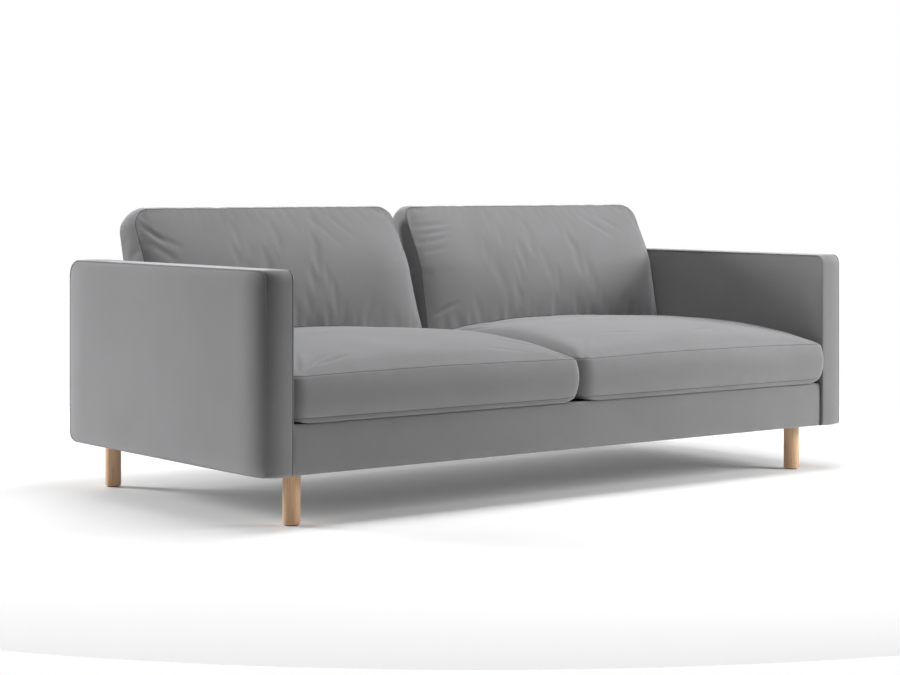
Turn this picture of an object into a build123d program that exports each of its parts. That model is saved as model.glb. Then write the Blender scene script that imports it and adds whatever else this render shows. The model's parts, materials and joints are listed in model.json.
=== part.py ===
from build123d import *

import math
import os

# A two-seat-cushion sofa with slab arms, loose box cushions and round wooden legs, in millimetres.
# The origin is on the floor under the middle of the sofa: +X to the right of someone facing it, -Y to
# the front, +Z up. "left" is the -X side.

# Driving dimensions
WIDTH = 2040
DEPTH = 1020
ARM_THICKNESS = 80
UNDERSIDE = 133  # floor to the lowest upholstery
ARM_TOP = 640
DECK_TOP = 260  # what the seat cushions lie on
BACK_TOP = 630
BACK_LEAN = 15  # degrees from vertical
BACK_FOOT_Y = 253  # front of the upholstered back, at deck height
CLOTH = 1.5
CLEARANCE = 0.5  # between a loose cushion and what it rests on or against

# Places worked out from them
INNER_X = WIDTH / 2 - ARM_THICKNESS
FRONT_Y = -DEPTH / 2
REAR_Y = DEPTH / 2
FRAME_BOTTOM = UNDERSIDE + CLOTH
LEAN = math.radians(BACK_LEAN)
SIDES = {"left": -1, "right": 1}

# Legs and their fastenings
LEG_RADIUS = 22.5
LEG_CHAMFER = 2
DUST_COVER_HOLE = 23.3
GLIDE_THICKNESS = 3
GLIDE_RADIUS = 18
NAIL_RADIUS = 1.5
NAIL_HOLE = 1.6
NAIL_LENGTH = 15
NAIL_HOLE_DEPTH = 17
GLIDE_CHAMFER = 1
BOLT_RADIUS = 4
BOLT_HOLE = 4.2
BOLT_CHAMFER = 1
LEG_BOLT_END_GAP = 4  # between a leg bolt's lower end and the bottom of its hole
LEG_BOLT_LENGTH = 86
TEE_NUT_RADIUS = 5.2
TEE_NUT_FLANGE = 9
TEE_NUT_CLEARANCE = 0.1
TEE_NUT_PLATE = 1.5
TEE_NUT_BARREL = 12
FRONT_LEG = (WIDTH / 2 - 128, FRONT_Y + 83)
BACK_LEG = (WIDTH / 2 - 112, REAR_Y - 45)
LEGS = {
    f"{row}_{side}": (sign * place[0], place[1])
    for row, place in (("front", FRONT_LEG), ("back", BACK_LEG))
    for side, sign in SIDES.items()
}

# Seat frame
BOARD = 18
REAR_RAIL = 20
RAIL_TOP = 244
CENTRE_RAIL_TOP = 205
FRONT_RAIL_THICKNESS = 30
REAR_RAIL_THICKNESS = 22
SEAT_BACK_RAIL_Y = 270
BLOCK = 70
BLOCK_HEIGHT = 40
FRONT_COVER_Y = FRONT_Y + 7
FRONT_FOAM = 15
EDGE_ROLL = 8  # how far foam and cloth reach back over the front rail
FRONT_RAIL_Y = FRONT_COVER_Y + CLOTH + FRONT_FOAM
FRONT_RAIL_REAR = FRONT_RAIL_Y + FRONT_RAIL_THICKNESS
DECK_FRONT_Y = FRONT_RAIL_Y + EDGE_ROLL
DECK_PAD = 10
DECK_GAP = 4  # between the deck and the foot of the back
DUST_COVER = 1
REAR_FLAP = 15  # how far the back's cloth is turned under

# Zigzag springs
SPRINGS_PER_SEAT = 5
WIRE_RADIUS = 1.8
SPRING_BEND = 22
SPRING_HALF_CROSSING = 10
SPRING_LIFT = 2.9  # from the rails' top to the middle of the wire
SPRING_LEVEL = RAIL_TOP + SPRING_LIFT
SPRING_END_INSET = 11  # from the front rail's rear face to the first crossing
SPRING_BENDS = 17
SPRING_FRONT_Y = FRONT_RAIL_REAR - SPRING_END_INSET
SPRING_REAR_Y = SPRING_FRONT_Y + 2 * SPRING_BEND * SPRING_BENDS
SPRINGS_X = [
    sign * INNER_X * (number + 0.5) / SPRINGS_PER_SEAT
    for sign in SIDES.values()
    for number in range(SPRINGS_PER_SEAT)
]

CLIP = (12, 9, 5.5)
CLIP_CLEARANCE = 0.1

# Back
BACK_FOAM = 20
BACK_WADDING = 10.5
HARDBOARD = 3
WEBBING = 2
STRAP_WIDTH = 48
STRAP_PITCH = 66
STRAPS = 5
STRAP_START = 2  # above the deck
RIB_TOP = 590
BACK_CORNER = 30
BACK_INSIDE_Y = REAR_Y - CLOTH - BACK_WADDING - HARDBOARD  # rear ends of the ribs

# Arms
ARM_PADDING = 12
ARM_EDGE_PADDING = 23.5
ARM_PANEL = 4
ARM_POST = 45
ARM_CORNERS = {
    ("back", "top"): 46,
    ("back", "bottom"): 30,
    ("front", "top"): 26,
    ("front", "bottom"): 10,
}
ARM_FRAME_X = (INNER_X + CLOTH + ARM_PADDING, WIDTH / 2 - CLOTH - ARM_PADDING)
ARM_FRAME_Y = (FRONT_Y + CLOTH + ARM_EDGE_PADDING, REAR_Y - CLOTH - ARM_EDGE_PADDING)
ARM_FRAME_Z = (UNDERSIDE + CLOTH + ARM_PADDING, ARM_TOP - CLOTH - ARM_EDGE_PADDING)
ARM_POST_X = (ARM_FRAME_X[0] + ARM_PANEL, ARM_FRAME_X[1] - ARM_PANEL)
ARM_BOLT_HEIGHT = 170
ARM_BOLTS = [(y, ARM_BOLT_HEIGHT) for y in (-350, -30, 400)]
ARM_BOLT_TIP = 2  # how far the bolts stop short of the outer panel
BOLT_HEAD_RADIUS = 7
BOLT_HEAD = 6
WASHER_RADIUS = 10
WASHER = 1.5

# Loose cushions
CUSHION_X = (1, INNER_X - 1)
SEAT_FRONT_Y = -505
SEAT_REAR_Y = 250
SEAT_FRONT_TOP = 378
SEAT_CROWN = (-150, 452)
SEAT_REAR_TOP = 424
SEAT_ROUND = 16
BACK_CUSHION_BOTTOM = 430
BACK_CUSHION_FOOT_Y = 192
BACK_CUSHION_BULGE = (206, 590)
BACK_CUSHION_SHOULDER = (300, 752)
BACK_CUSHION_TOP = (355, 787)
BACK_CUSHION_REAR = (377, 742)
SEAT_REAR_SLOPE = (-1, 0.12)  # direction of the seat cushion's top line at its rear
SEAT_FRONT_SLOPE = (-0.75, -1)
SHOULDER_INSET = 0.7  # share of an inset taken by each of y and z on the slanting shoulder
FRONT_RAIL_CHAMFER = 1

os.makedirs("parts", exist_ok=True)


def lean_y(z, setback=0.0):
    """Y of the leaning front of the back at height z, set back square to its own surface."""
    return BACK_FOOT_Y + (z - DECK_TOP) * math.tan(LEAN) + setback / math.cos(LEAN)


def outward(side, near, far):
    """The X range from near to far on one side of the sofa, lowest first."""
    return tuple(sorted((side * near, side * far)))


def save(name, piece):
    """Labels a finished piece and writes it as its own node."""
    piece.part.label = name
    export_step(piece.part, f"parts/{name}.step")


def board(x_range, y_range, z_range):
    """A straight board between two values along each axis."""
    with BuildPart() as piece:
        with BuildSketch(Plane.XY.offset(z_range[0])):
            with Locations((sum(x_range) / 2, sum(y_range) / 2)):
                Rectangle(x_range[1] - x_range[0], y_range[1] - y_range[0])
        extrude(amount=z_range[1] - z_range[0])
    return piece


def section_along_x(outline, x_range):
    """A piece whose section, a closed line of (y, z) points, is the same all along X."""
    with BuildPart() as piece:
        with BuildSketch(Plane.YZ.offset(x_range[0])):
            with BuildLine():
                Polyline(*outline, close=True)
            make_face()
        extrude(amount=x_range[1] - x_range[0])
    return piece


def rods_along_x(places, radius, x_range):
    """Round bars along X through each (y, z) place."""
    with BuildPart() as rods:
        with BuildSketch(Plane.YZ.offset(x_range[0])):
            with Locations(*places):
                Circle(radius)
        extrude(amount=x_range[1] - x_range[0])
    return rods


# Legs: turned posts, each with a socket for its hanger bolt and one for its glide's nail.

for leg_name, (leg_x, leg_y) in LEGS.items():
    with BuildPart() as leg:
        with BuildSketch(Plane.XY.offset(GLIDE_THICKNESS)):
            with Locations((leg_x, leg_y)):
                Circle(LEG_RADIUS)
        extrude(amount=FRAME_BOTTOM - GLIDE_THICKNESS)
        chamfer(leg.edges().group_by(Axis.Z)[0], LEG_CHAMFER)
        with BuildSketch(Plane.XY.offset(FRAME_BOTTOM)):
            with Locations((leg_x, leg_y)):
                Circle(BOLT_HOLE)
        extrude(amount=-BLOCK_HEIGHT, mode=Mode.SUBTRACT)
        with BuildSketch(Plane.XY.offset(GLIDE_THICKNESS)):
            with Locations((leg_x, leg_y)):
                Circle(NAIL_HOLE)
        extrude(amount=NAIL_HOLE_DEPTH, mode=Mode.SUBTRACT)
    save(f"leg_{leg_name}", leg)

with BuildPart() as leg_glides:
    with BuildSketch():
        with Locations(*LEGS.values()):
            Circle(GLIDE_RADIUS)
    extrude(amount=GLIDE_THICKNESS)
    chamfer(leg_glides.edges().group_by(Axis.Z)[0], GLIDE_CHAMFER)
    with BuildSketch(Plane.XY.offset(GLIDE_THICKNESS)):
        with Locations(*LEGS.values()):
            Circle(NAIL_RADIUS)
    extrude(amount=NAIL_LENGTH)
save("leg_glides", leg_glides)

with BuildPart() as leg_bolts:
    with BuildSketch(Plane.XY.offset(FRAME_BOTTOM - BLOCK_HEIGHT + LEG_BOLT_END_GAP)):
        with Locations(*LEGS.values()):
            Circle(BOLT_RADIUS)
    extrude(amount=LEG_BOLT_LENGTH)
    chamfer(leg_bolts.edges().group_by(Axis.Z)[-1], BOLT_CHAMFER)
save("leg_bolts", leg_bolts)

with BuildPart() as leg_nuts:
    with BuildSketch(Plane.XY.offset(FRAME_BOTTOM + BLOCK_HEIGHT)):
        with Locations(*LEGS.values()):
            Circle(TEE_NUT_FLANGE)
    extrude(amount=TEE_NUT_PLATE)
    with BuildSketch(Plane.XY.offset(FRAME_BOTTOM + BLOCK_HEIGHT)):
        with Locations(*LEGS.values()):
            Circle(TEE_NUT_RADIUS)
    extrude(amount=-TEE_NUT_BARREL)
    with BuildSketch(Plane.XY.offset(FRAME_BOTTOM)):
        with Locations(*LEGS.values()):
            Circle(BOLT_HOLE)
    extrude(amount=2 * BLOCK_HEIGHT, mode=Mode.SUBTRACT)
save("leg_nuts", leg_nuts)

# Seat frame: a box of rails with hardwood corner blocks that the legs bolt up into.

block_x = INNER_X - BOARD - BLOCK / 2
block_places = [
    (sign * block_x, y)
    for y in (FRONT_RAIL_REAR + BLOCK / 2, BACK_INSIDE_Y - BLOCK / 2)
    for sign in SIDES.values()
]
with BuildPart() as corner_blocks:
    with BuildSketch(Plane.XY.offset(FRAME_BOTTOM)):
        with Locations(*block_places):
            Rectangle(BLOCK, BLOCK)
        with Locations(*LEGS.values()):
            Circle(TEE_NUT_RADIUS + TEE_NUT_CLEARANCE, mode=Mode.SUBTRACT)
    extrude(amount=BLOCK_HEIGHT)
save("corner_blocks", corner_blocks)

for side_name, side in SIDES.items():
    rail_x = outward(side, INNER_X - BOARD, INNER_X)
    drill = rods_along_x(ARM_BOLTS, BOLT_HOLE, rail_x)
    with BuildPart() as seat_rail_side:
        add(board(rail_x, (FRONT_RAIL_REAR, BACK_INSIDE_Y), (FRAME_BOTTOM, RAIL_TOP)).part)
        add(drill.part, mode=Mode.SUBTRACT)
    save(f"seat_rail_{side_name}", seat_rail_side)

between_sides = (-INNER_X + BOARD, INNER_X - BOARD)
seat_rail_front = board(
    (-INNER_X + CLOTH, INNER_X - CLOTH), (FRONT_RAIL_Y, FRONT_RAIL_REAR), (FRAME_BOTTOM, RAIL_TOP)
)
save("seat_rail_front", seat_rail_front)

seat_rail_back = board(
    between_sides, (SEAT_BACK_RAIL_Y, SEAT_BACK_RAIL_Y + REAR_RAIL_THICKNESS), (FRAME_BOTTOM, RAIL_TOP)
)
save("seat_rail_back", seat_rail_back)

seat_rail_centre = board(
    (-BOARD / 2, BOARD / 2), (FRONT_RAIL_REAR, SEAT_BACK_RAIL_Y), (FRAME_BOTTOM, CENTRE_RAIL_TOP)
)
save("seat_rail_centre", seat_rail_centre)

rear_rail_y = (BACK_INSIDE_Y - REAR_RAIL, BACK_INSIDE_Y)
back_bottom_rail = board(between_sides, rear_rail_y, (FRAME_BOTTOM + BLOCK_HEIGHT, RAIL_TOP))
save("back_bottom_rail", back_bottom_rail)

# Seat suspension: zigzag springs, straight crossings joined by half-round bends, and their clips.

with BuildPart() as seat_springs:
    for spring_x in SPRINGS_X:
        with BuildLine() as zigzag:
            for number in range(SPRING_BENDS + 1):
                crossing_y = SPRING_FRONT_Y + 2 * SPRING_BEND * number
                way = 1 if number % 2 == 0 else -1
                start_x = spring_x - way * SPRING_HALF_CROSSING
                end_x = spring_x + way * SPRING_HALF_CROSSING
                Line((start_x, crossing_y, SPRING_LEVEL), (end_x, crossing_y, SPRING_LEVEL))
                if number < SPRING_BENDS:
                    ThreePointArc(
                        (end_x, crossing_y, SPRING_LEVEL),
                        (end_x + way * SPRING_BEND, crossing_y + SPRING_BEND, SPRING_LEVEL),
                        (end_x, crossing_y + 2 * SPRING_BEND, SPRING_LEVEL),
                    )
        with BuildSketch(Plane.YZ.offset(spring_x - SPRING_HALF_CROSSING)):
            with Locations((SPRING_FRONT_Y, SPRING_LEVEL)):
                Circle(WIRE_RADIUS)
        sweep(path=zigzag.wires()[0])
save("seat_springs", seat_springs)

clip_places = [(x, y) for x in SPRINGS_X for y in (SPRING_FRONT_Y, SPRING_REAR_Y)]
with BuildPart() as spring_clips:
    with BuildSketch(Plane.XY.offset(RAIL_TOP)):
        with Locations(*clip_places):
            Rectangle(CLIP[0], CLIP[1])
    extrude(amount=CLIP[2])
    with BuildSketch(Plane.YZ.offset(-INNER_X)):
        with Locations((SPRING_FRONT_Y, SPRING_LEVEL), (SPRING_REAR_Y, SPRING_LEVEL)):
            Circle(WIRE_RADIUS + CLIP_CLEARANCE)
    extrude(amount=2 * INNER_X, mode=Mode.SUBTRACT)
save("spring_clips", spring_clips)

deck_pad = board(
    (-INNER_X, INNER_X), (DECK_FRONT_Y, BACK_FOOT_Y - DECK_GAP), (DECK_TOP - DECK_PAD, DECK_TOP)
)
save("deck_pad", deck_pad)

with BuildPart() as dust_cover:
    with BuildSketch(Plane.XY.offset(FRAME_BOTTOM)):
        with Locations((0, (DECK_FRONT_Y + REAR_Y - REAR_FLAP) / 2)):
            Rectangle(2 * INNER_X, REAR_Y - REAR_FLAP - DECK_FRONT_Y)
        with Locations(*LEGS.values()):
            Circle(DUST_COVER_HOLE, mode=Mode.SUBTRACT)
    extrude(amount=-DUST_COVER)
save("dust_cover", dust_cover)

# Front rail upholstery: foam over the rail's face and top edge, and its cloth.

foam_front = FRONT_COVER_Y + CLOTH
front_rail_padding = section_along_x(
    [
        (foam_front, FRAME_BOTTOM),
        (FRONT_RAIL_Y, FRAME_BOTTOM),
        (FRONT_RAIL_Y, RAIL_TOP),
        (DECK_FRONT_Y, RAIL_TOP),
        (DECK_FRONT_Y, DECK_TOP - CLOTH),
        (foam_front, DECK_TOP - CLOTH),
    ],
    (-INNER_X + CLOTH, INNER_X - CLOTH),
)
save("front_rail_padding", front_rail_padding)

front_rail_hollow = board(
    (-INNER_X + CLOTH, INNER_X - CLOTH), (foam_front, DECK_FRONT_Y), (FRAME_BOTTOM, DECK_TOP - CLOTH)
)
with BuildPart() as front_rail_cover:
    add(board((-INNER_X, INNER_X), (FRONT_COVER_Y, DECK_FRONT_Y), (UNDERSIDE, DECK_TOP)).part)
    chamfer(front_rail_cover.edges().group_by(Axis.Y)[0], FRONT_RAIL_CHAMFER)
    add(front_rail_hollow.part, mode=Mode.SUBTRACT)
save("front_rail_cover", front_rail_cover)

# Back: wedge-shaped uprights, a top rail, webbing across their leaning front, padding and cloth.

rib_setback = CLOTH + BACK_FOAM + WEBBING
rib_places = {
    "left": (-INNER_X, -INNER_X + BOARD),
    "centre": (-BOARD / 2, BOARD / 2),
    "right": (INNER_X - BOARD, INNER_X),
}
for rib_name, rib_x in rib_places.items():
    back_rib = section_along_x(
        [
            (lean_y(RAIL_TOP, rib_setback), RAIL_TOP),
            (BACK_INSIDE_Y, RAIL_TOP),
            (BACK_INSIDE_Y, RIB_TOP),
            (lean_y(RIB_TOP, rib_setback), RIB_TOP),
        ],
        rib_x,
    )
    save(f"back_rib_{rib_name}", back_rib)

top_rail_top = RIB_TOP + BOARD
back_top_rail = section_along_x(
    [
        (lean_y(RIB_TOP, rib_setback), RIB_TOP),
        (BACK_INSIDE_Y, RIB_TOP),
        (BACK_INSIDE_Y, top_rail_top),
        (lean_y(top_rail_top, rib_setback), top_rail_top),
    ],
    (-INNER_X, INNER_X),
)
save("back_top_rail", back_top_rail)

with BuildPart() as back_webbing:
    for strap in range(STRAPS):
        strap_bottom = DECK_TOP + STRAP_START + STRAP_PITCH * strap
        strap_top = strap_bottom + STRAP_WIDTH
        strap_outline = [
            (lean_y(strap_bottom, CLOTH + BACK_FOAM), strap_bottom),
            (lean_y(strap_bottom, rib_setback), strap_bottom),
            (lean_y(strap_top, rib_setback), strap_top),
            (lean_y(strap_top, CLOTH + BACK_FOAM), strap_top),
        ]
        add(section_along_x(strap_outline, (-INNER_X, INNER_X)).part)
save("back_webbing", back_webbing)

back_panel = board(
    (-INNER_X, INNER_X), (BACK_INSIDE_Y, BACK_INSIDE_Y + HARDBOARD), (FRAME_BOTTOM, top_rail_top)
)
save("back_panel", back_panel)


def back_outline(inset):
    """Section of the upholstered back from deck level up, drawn in by inset, as a sketch of (y, z)."""
    foot, top, rear = DECK_TOP - DECK_PAD, BACK_TOP - inset, REAR_Y - inset
    with BuildSketch() as outline:
        with BuildLine():
            Polyline(
                (lean_y(foot, inset), foot),
                (lean_y(top, inset), top),
                (rear, top),
                (rear, foot),
                close=True,
            )
        make_face()
        fillet(outline.vertices().group_by(Axis.Y)[-1].sort_by(Axis.X)[-1], BACK_CORNER - inset)
    return outline


def back_layer(inset, thickness_front, thickness_top, thickness_rear, rear_bottom):
    """A layer wrapped over the back: up its lean, over its top and down its rear."""
    foot = DECK_TOP - DECK_PAD
    inner_top = BACK_TOP - inset - thickness_top
    inner_rear = REAR_Y - inset - thickness_rear
    inner_front = inset + thickness_front
    with BuildPart() as layer:
        with BuildSketch(Plane.YZ.offset(-INNER_X)) as wrap:
            add(back_outline(inset).sketch)
            with BuildLine():
                Polyline(
                    (lean_y(foot, inner_front), foot),
                    (lean_y(inner_top, inner_front), inner_top),
                    (inner_rear, inner_top),
                    (inner_rear, foot),
                    close=True,
                )
            make_face(mode=Mode.SUBTRACT)
        extrude(amount=2 * INNER_X)
        add(board((-INNER_X, INNER_X), (inner_rear, REAR_Y - inset), (rear_bottom, foot)).part)
    return layer


top_padding = BACK_TOP - CLOTH - top_rail_top
back_padding = back_layer(CLOTH, BACK_FOAM, top_padding, BACK_WADDING, FRAME_BOTTOM)
save("back_padding", back_padding)

with BuildPart() as back_cover:
    with BuildSketch(Plane.YZ.offset(-INNER_X)):
        add(back_outline(0).sketch)
        add(back_outline(CLOTH).sketch, mode=Mode.SUBTRACT)
    extrude(amount=2 * INNER_X)
    add(board((-INNER_X, INNER_X), (REAR_Y - CLOTH, REAR_Y), (UNDERSIDE, DECK_TOP - DECK_PAD)).part)
    add(board((-INNER_X, INNER_X), (REAR_Y - REAR_FLAP, REAR_Y), (UNDERSIDE, FRAME_BOTTOM)).part)
save("back_cover", back_cover)

# Arms: each a wooden frame between hardboard panels, padded all round, in a sewn cover.


def arm_slab(side, inset):
    """The arm's whole rounded slab, drawn in by inset on every face."""
    slab_x = outward(side, INNER_X + inset, WIDTH / 2 - inset)
    low, high = UNDERSIDE + inset, ARM_TOP - inset
    with BuildPart() as slab:
        add(board(slab_x, (FRONT_Y + inset, REAR_Y - inset), (low, high)).part)
        for (end, level), radius in ARM_CORNERS.items():
            across = slab.edges().filter_by(Axis.X)
            at_end = across.group_by(Axis.Y)[-1 if end == "back" else 0]
            fillet(at_end.sort_by(Axis.Z)[-1 if level == "top" else 0], radius - inset)
    return slab


for side_name, side in SIDES.items():
    arm_frame = board(outward(side, *ARM_FRAME_X), ARM_FRAME_Y, ARM_FRAME_Z)
    post_x = outward(side, *ARM_POST_X)
    front_post_y = (ARM_FRAME_Y[0], ARM_FRAME_Y[0] + ARM_POST)
    back_post_y = (ARM_FRAME_Y[1] - ARM_POST, ARM_FRAME_Y[1])
    between_posts = (front_post_y[1], back_post_y[0])

    save(f"arm_front_post_{side_name}", board(post_x, front_post_y, ARM_FRAME_Z))
    save(f"arm_back_post_{side_name}", board(post_x, back_post_y, ARM_FRAME_Z))
    top_rail_z = (ARM_FRAME_Z[1] - ARM_POST, ARM_FRAME_Z[1])
    save(f"arm_top_rail_{side_name}", board(post_x, between_posts, top_rail_z))

    nut_seat = outward(side, ARM_POST_X[1] - TEE_NUT_PLATE, ARM_POST_X[1])
    nut_bore = rods_along_x(ARM_BOLTS, TEE_NUT_RADIUS + TEE_NUT_CLEARANCE, post_x)
    nut_recess = rods_along_x(ARM_BOLTS, TEE_NUT_FLANGE + TEE_NUT_CLEARANCE, nut_seat)
    with BuildPart() as arm_bottom_rail:
        add(board(post_x, between_posts, (ARM_FRAME_Z[0], ARM_FRAME_Z[0] + ARM_POST)).part)
        add(nut_bore.part, mode=Mode.SUBTRACT)
        add(nut_recess.part, mode=Mode.SUBTRACT)
    save(f"arm_bottom_rail_{side_name}", arm_bottom_rail)

    inner_panel_x = outward(side, ARM_FRAME_X[0], ARM_POST_X[0])
    bolt_drill = rods_along_x(ARM_BOLTS, BOLT_HOLE, outward(side, INNER_X, ARM_POST_X[0]))
    with BuildPart() as arm_inner_panel:
        add(board(inner_panel_x, ARM_FRAME_Y, ARM_FRAME_Z).part)
        add(bolt_drill.part, mode=Mode.SUBTRACT)
    save(f"arm_inner_panel_{side_name}", arm_inner_panel)
    outer_panel_x = outward(side, ARM_POST_X[1], ARM_FRAME_X[1])
    save(f"arm_outer_panel_{side_name}", board(outer_panel_x, ARM_FRAME_Y, ARM_FRAME_Z))

    padded_slab = arm_slab(side, CLOTH)
    whole_slab = arm_slab(side, 0)
    with BuildPart() as arm_padding:
        add(padded_slab.part)
        add(arm_frame.part, mode=Mode.SUBTRACT)
        add(bolt_drill.part, mode=Mode.SUBTRACT)
    save(f"arm_padding_{side_name}", arm_padding)

    with BuildPart() as arm_cover:
        add(whole_slab.part)
        add(padded_slab.part, mode=Mode.SUBTRACT)
        add(bolt_drill.part, mode=Mode.SUBTRACT)
    save(f"arm_cover_{side_name}", arm_cover)

with BuildPart() as arm_nuts:
    for side in SIDES.values():
        nut_seat = outward(side, ARM_POST_X[1] - TEE_NUT_PLATE, ARM_POST_X[1])
        nut_length = outward(side, ARM_POST_X[1] - TEE_NUT_PLATE - TEE_NUT_BARREL, ARM_POST_X[1])
        add(rods_along_x(ARM_BOLTS, TEE_NUT_FLANGE, nut_seat).part)
        add(rods_along_x(ARM_BOLTS, TEE_NUT_RADIUS, nut_length).part)
        add(rods_along_x(ARM_BOLTS, BOLT_HOLE, nut_length).part, mode=Mode.SUBTRACT)
save("arm_nuts", arm_nuts)

rail_inside_x = INNER_X - BOARD
with BuildPart() as arm_washers:
    for side in SIDES.values():
        washer_x = outward(side, rail_inside_x - WASHER, rail_inside_x)
        add(rods_along_x(ARM_BOLTS, WASHER_RADIUS, washer_x).part)
        add(rods_along_x(ARM_BOLTS, BOLT_HOLE, washer_x).part, mode=Mode.SUBTRACT)
save("arm_washers", arm_washers)

with BuildPart() as arm_bolts:
    for side in SIDES.values():
        head_x = outward(side, rail_inside_x - WASHER - BOLT_HEAD, rail_inside_x - WASHER)
        shank_x = outward(side, rail_inside_x - WASHER, ARM_POST_X[1] - ARM_BOLT_TIP)
        add(rods_along_x(ARM_BOLTS, BOLT_HEAD_RADIUS, head_x).part)
        add(rods_along_x(ARM_BOLTS, BOLT_RADIUS, shank_x).part)
save("arm_bolts", arm_bolts)

# Loose cushions: a foam core in a sewn cover, each. The back ones stand on the seat ones.


def seat_section(inset):
    """Side outline of a seat cushion, drawn in by inset, as a sketch of (y, z)."""
    front, rear, bottom = SEAT_FRONT_Y + inset, SEAT_REAR_Y - inset, DECK_TOP + CLEARANCE + inset
    front_top, rear_top = (front, SEAT_FRONT_TOP - inset), (rear, SEAT_REAR_TOP - inset)
    crown = (SEAT_CROWN[0], SEAT_CROWN[1] - inset)
    with BuildSketch() as section:
        with BuildLine():
            Polyline(front_top, (front, bottom), (rear, bottom), rear_top)
            Spline(rear_top, crown, front_top, tangents=[SEAT_REAR_SLOPE, SEAT_FRONT_SLOPE])
        make_face()
        fillet(section.vertices(), SEAT_ROUND - inset)
    return section


def back_section(inset):
    """Side outline of a back cushion, drawn in by inset: it leans on the back up to the back's top."""
    bottom = BACK_CUSHION_BOTTOM + inset
    foot = (BACK_CUSHION_FOOT_Y + inset, bottom)
    bulge = (BACK_CUSHION_BULGE[0] + inset, BACK_CUSHION_BULGE[1])
    slanted = SHOULDER_INSET * inset
    shoulder = (BACK_CUSHION_SHOULDER[0] + slanted, BACK_CUSHION_SHOULDER[1] - slanted)
    top = (BACK_CUSHION_TOP[0], BACK_CUSHION_TOP[1] - inset)
    rear = (BACK_CUSHION_REAR[0] - inset, BACK_CUSHION_REAR[1])
    setback = -CLEARANCE - inset
    with BuildSketch() as section:
        with BuildLine():
            Polyline(foot, (lean_y(bottom, setback), bottom), (lean_y(BACK_TOP, setback), BACK_TOP))
            Spline(
                (lean_y(BACK_TOP, setback), BACK_TOP), rear, top, shoulder, bulge, foot,
                tangents=[(math.tan(LEAN), 1), (0, -1)],
            )
        make_face()
        fillet(section.vertices().group_by(Axis.Z)[0], SEAT_ROUND - inset)
    return section


def cushion(side, section, inset):
    """A cushion's solid on one side of the sofa, drawn in by inset on every face."""
    low, high = outward(side, CUSHION_X[0] + inset, CUSHION_X[1] - inset)
    with BuildPart() as solid:
        with BuildSketch(Plane.YZ.offset(low)):
            add(section(inset).sketch)
        extrude(amount=high - low)
    return solid


for family, section in (("seat", seat_section), ("back", back_section)):
    for side_name, side in SIDES.items():
        core = cushion(side, section, CLOTH)
        save(f"{family}_cushion_core_{side_name}", core)
        with BuildPart() as cushion_cover:
            add(cushion(side, section, 0).part)
            add(core.part, mode=Mode.SUBTRACT)
        save(f"{family}_cushion_cover_{side_name}", cushion_cover)
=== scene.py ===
import json
import math

import bpy
import numpy as np
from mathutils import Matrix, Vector, noise
from mathutils.bvhtree import BVHTree


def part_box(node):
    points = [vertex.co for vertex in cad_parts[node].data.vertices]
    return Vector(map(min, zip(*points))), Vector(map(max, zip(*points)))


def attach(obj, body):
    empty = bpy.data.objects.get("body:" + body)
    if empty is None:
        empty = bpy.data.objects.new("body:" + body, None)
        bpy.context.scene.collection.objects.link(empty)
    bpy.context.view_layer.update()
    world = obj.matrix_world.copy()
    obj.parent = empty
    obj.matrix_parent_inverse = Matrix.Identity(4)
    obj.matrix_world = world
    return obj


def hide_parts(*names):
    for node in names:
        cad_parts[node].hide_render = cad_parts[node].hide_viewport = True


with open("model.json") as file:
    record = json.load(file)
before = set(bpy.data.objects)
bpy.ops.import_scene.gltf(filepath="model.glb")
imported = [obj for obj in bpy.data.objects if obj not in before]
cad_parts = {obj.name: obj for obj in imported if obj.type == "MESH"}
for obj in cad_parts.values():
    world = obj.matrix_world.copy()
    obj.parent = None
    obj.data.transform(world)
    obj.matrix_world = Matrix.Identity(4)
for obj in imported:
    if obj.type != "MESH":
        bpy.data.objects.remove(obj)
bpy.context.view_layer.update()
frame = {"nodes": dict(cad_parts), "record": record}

# Upholstery, cushions, stitching and materials of the sofa, round the CAD frame. Metres, +Z up, front at -Y.

scene = bpy.context.scene
SIDES = {"left": -1, "right": 1}
FINE = (0.0025, 0.0065)  # extra rows of quads this far from each seam
LEAN = math.radians(15)
INSET = 0.0005  # how far the fixed upholstery stays inside its CAD box


# ---- meshes ----


def make_piece(name, points, quads):
    """A smooth-shaded mesh object from arrays of points and quads."""
    mesh = bpy.data.meshes.new(name)
    mesh.from_pydata(np.asarray(points, float).tolist(), [], np.asarray(quads).tolist())
    mesh.polygons.foreach_set("use_smooth", np.ones(len(mesh.polygons), bool))
    piece = bpy.data.objects.new(name, mesh)
    scene.collection.objects.link(piece)
    return piece


def points_of(piece):
    """The piece's vertices as an array."""
    flat = np.empty(3 * len(piece.data.vertices))
    piece.data.vertices.foreach_get("co", flat)
    return flat.reshape(-1, 3)


def normals_of(piece):
    """The piece's vertex normals as an array."""
    flat = np.empty(3 * len(piece.data.vertices))
    piece.data.vertex_normals.foreach_get("vector", flat)
    return flat.reshape(-1, 3)


def move_points(piece, points):
    """Puts the piece's vertices at the given points."""
    piece.data.vertices.foreach_set("co", np.asarray(points, float).ravel())
    piece.data.update()


def spaced(half, step):
    """Even steps from -half to half with finer ones near both ends, as fractions of half."""
    if half < 3 * FINE[1]:
        return np.linspace(-1, 1, 5)
    count = max(2, round(2 * half / step))
    inner = np.linspace(-half + 2 * FINE[1], half - 2 * FINE[1], count)
    ends = np.array([half - edge for edge in FINE[::-1]] + [half])
    return np.concatenate([-ends[::-1], inner, ends]) / half


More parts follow.
